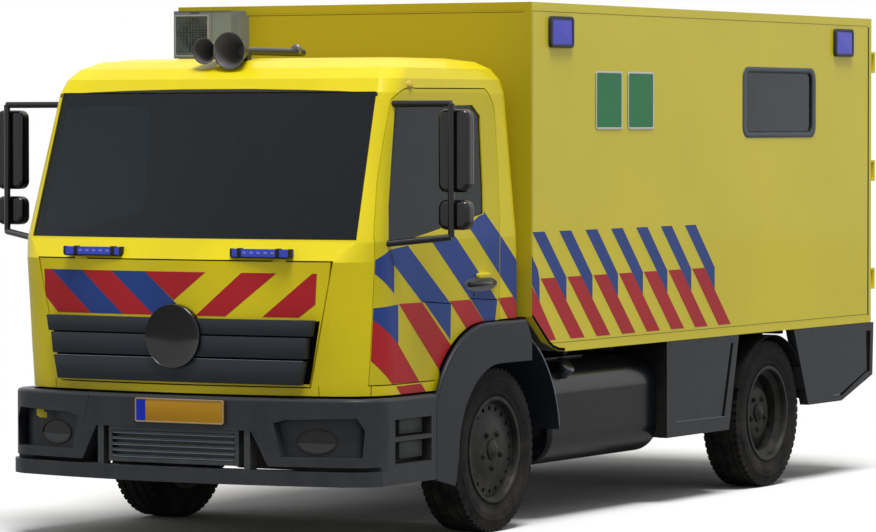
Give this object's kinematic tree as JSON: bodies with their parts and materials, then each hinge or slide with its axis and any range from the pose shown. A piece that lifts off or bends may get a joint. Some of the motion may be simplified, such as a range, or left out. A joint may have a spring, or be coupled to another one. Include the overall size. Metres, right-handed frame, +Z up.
{
  "type": "box-body ambulance truck",
  "caption": "Cab-over truck ambulance with a tall striped box body, opening doors and front flap, steering front wheels and turning fan.",
  "frame": {"origin": "middle of the vehicle's width and length, on the ground", "axes": "+Z up, -Y toward the front bumper, +Y toward the rear doors, +X toward the vehicle's left side"},
  "size_m": [3.09, 6.806, 2.9939],
  "materials": {
    "body_yellow": "gloss",
    "box_yellow": "gloss",
    "frame_black": "satin",
    "engine_grey": "rough",
    "axle_grey": "rough",
    "tank_black": "gloss",
    "silencer_grey": "satin",
    "trim_dark": "matt",
    "radiator_grey": "satin",
    "tyre_black": "matt",
    "wheel_grey": "satin",
    "floor_grey": "satin",
    "glass_tinted": "clear",
    "lens_blue": "gloss",
    "lens_red": "gloss",
    "lens_dark": "gloss",
    "cooler_white": "satin",
    "fan_black": "matt",
    "mirror_black": "gloss",
    "dash_grey": "matt",
    "seat_cloth": "matt",
    "horn_metal": "satin"
  },
  "bodies": {
    "chassis": {"chassis_frame": "frame_black", "engine_block": "engine_grey", "leaf_springs": "frame_black", "front_axle": "axle_grey", "rear_axle": "axle_grey", "fuel_tank": "tank_black", "silencer": "silencer_grey", "bumper": "trim_dark", "bumper_lamps": "lens_dark", "radiator_pack": "radiator_grey", "front_mudguards": "trim_dark", "side_skirts": "trim_dark", "box_side_left": "box_yellow", "box_side_right": "box_yellow", "box_front": "box_yellow", "box_roof": "box_yellow", "box_floor": "floor_grey", "box_rear_frame": "box_yellow", "box_windows": "glass_tinted", "blue_lamps": "lens_blue", "rear_lamps": "lens_red", "cooling_unit": "cooler_white", "cab_shell": "body_yellow", "windscreen": "glass_tinted", "dashboard": "dash_grey", "seats": "seat_cloth", "horns": "horn_metal"},
    "flap": {"front_flap": "body_yellow", "grille": "trim_dark"},
    "cab_door_left": {"cab_door_left": "body_yellow", "door_glass_left": "glass_tinted", "mirror_left": "mirror_black"},
    "cab_door_right": {"cab_door_right": "body_yellow", "door_glass_right": "glass_tinted", "mirror_right": "mirror_black"},
    "rear_door_left": {"rear_door_left": "box_yellow", "rear_glass_left": "glass_tinted"},
    "rear_door_right": {"rear_door_right": "box_yellow", "rear_glass_right": "glass_tinted"},
    "fan": {"cooling_fan": "fan_black"},
    "steering_wheel": {"steering_wheel": "mirror_black"},
    "knuckle_left": {"knuckle_left": "axle_grey"},
    "knuckle_right": {"knuckle_right": "axle_grey"},
    "track_rod": {"track_rod": "frame_black"},
    "wheel_front_left": {"tyre_front_left": "tyre_black", "rim_front_left": "wheel_grey"},
    "wheel_front_right": {"tyre_front_right": "tyre_black", "rim_front_right": "wheel_grey"},
    "wheel_rear_left": {"tyre_rear_left": "tyre_black", "rim_rear_left": "wheel_grey"},
    "wheel_rear_right": {"tyre_rear_right": "tyre_black", "rim_rear_right": "wheel_grey"}
  },
  "joints": [
    {"name": "steer_left", "type": "hinge", "parent": "chassis", "child": "knuckle_left", "pos_m": [0.84, -1.793, 0.465], "axis": [0, 0, 1], "range_deg": [-40, 40]},
    {"name": "steer_right", "type": "hinge", "parent": "chassis", "child": "knuckle_right", "pos_m": [-0.84, -1.793, 0.465], "axis": [0, 0, 1], "range_deg": [-40, 40]},
    {"name": "track_rod_turn", "type": "hinge", "parent": "knuckle_left", "child": "track_rod", "pos_m": [0.84, -1.603, 0.335], "axis": [0, 0, 1], "range_deg": [-40, 40]},
    {"name": "steering_wheel_turn", "type": "hinge", "parent": "chassis", "child": "steering_wheel", "pos_m": [0.56, -2.673, 1.79], "axis": [0, 0.5736, 0.8192], "range_deg": [-720, 720]},
    {"name": "wheel_front_left_spin", "type": "hinge", "parent": "knuckle_left", "child": "wheel_front_left", "pos_m": [1.0265, -1.793, 0.465], "axis": [1, 0, 0], "continuous": true},
    {"name": "wheel_front_right_spin", "type": "hinge", "parent": "knuckle_right", "child": "wheel_front_right", "pos_m": [-1.0265, -1.793, 0.465], "axis": [1, 0, 0], "continuous": true},
    {"name": "wheel_rear_left_spin", "type": "hinge", "parent": "chassis", "child": "wheel_rear_left", "pos_m": [1.0265, 1.827, 0.465], "axis": [1, 0, 0], "continuous": true},
    {"name": "wheel_rear_right_spin", "type": "hinge", "parent": "chassis", "child": "wheel_rear_right", "pos_m": [-1.0265, 1.827, 0.465], "axis": [1, 0, 0], "continuous": true},
    {"name": "cab_door_left_hinge", "type": "hinge", "parent": "chassis", "child": "cab_door_left", "pos_m": [1.125, -3.10514, 1.5], "axis": [0, 0, -1], "range_deg": [0, 75]},
    {"name": "cab_door_right_hinge", "type": "hinge", "parent": "chassis", "child": "cab_door_right", "pos_m": [-1.125, -3.10514, 1.5], "axis": [0, 0, 1], "range_deg": [0, 75]},
    {"name": "front_flap_hinge", "type": "hinge", "parent": "chassis", "child": "flap", "pos_m": [0, -3.34, 1.563], "axis": [-1, 0, 0], "range_deg": [0, 75]},
    {"name": "rear_door_left_hinge", "type": "hinge", "parent": "chassis", "child": "rear_door_left", "pos_m": [1.184, 3.394, 2], "axis": [0, 0, -1], "range_deg": [0, 180]},
    {"name": "rear_door_right_hinge", "type": "hinge", "parent": "chassis", "child": "rear_door_right", "pos_m": [-1.184, 3.394, 2], "axis": [0, 0, 1], "range_deg": [0, 180]},
    {"name": "cooling_fan_spin", "type": "hinge", "parent": "chassis", "child": "fan", "pos_m": [-0.985, -1.544, 2.827], "axis": [0, 1, 0], "continuous": true}
  ],
  "couplings": [
    {"joint": "steer_right", "follows": "steer_left", "ratio": 1},
    {"joint": "track_rod_turn", "follows": "steer_left", "ratio": -1},
    {"joint": "steering_wheel_turn", "follows": "steer_left", "ratio": 18}
  ]
}
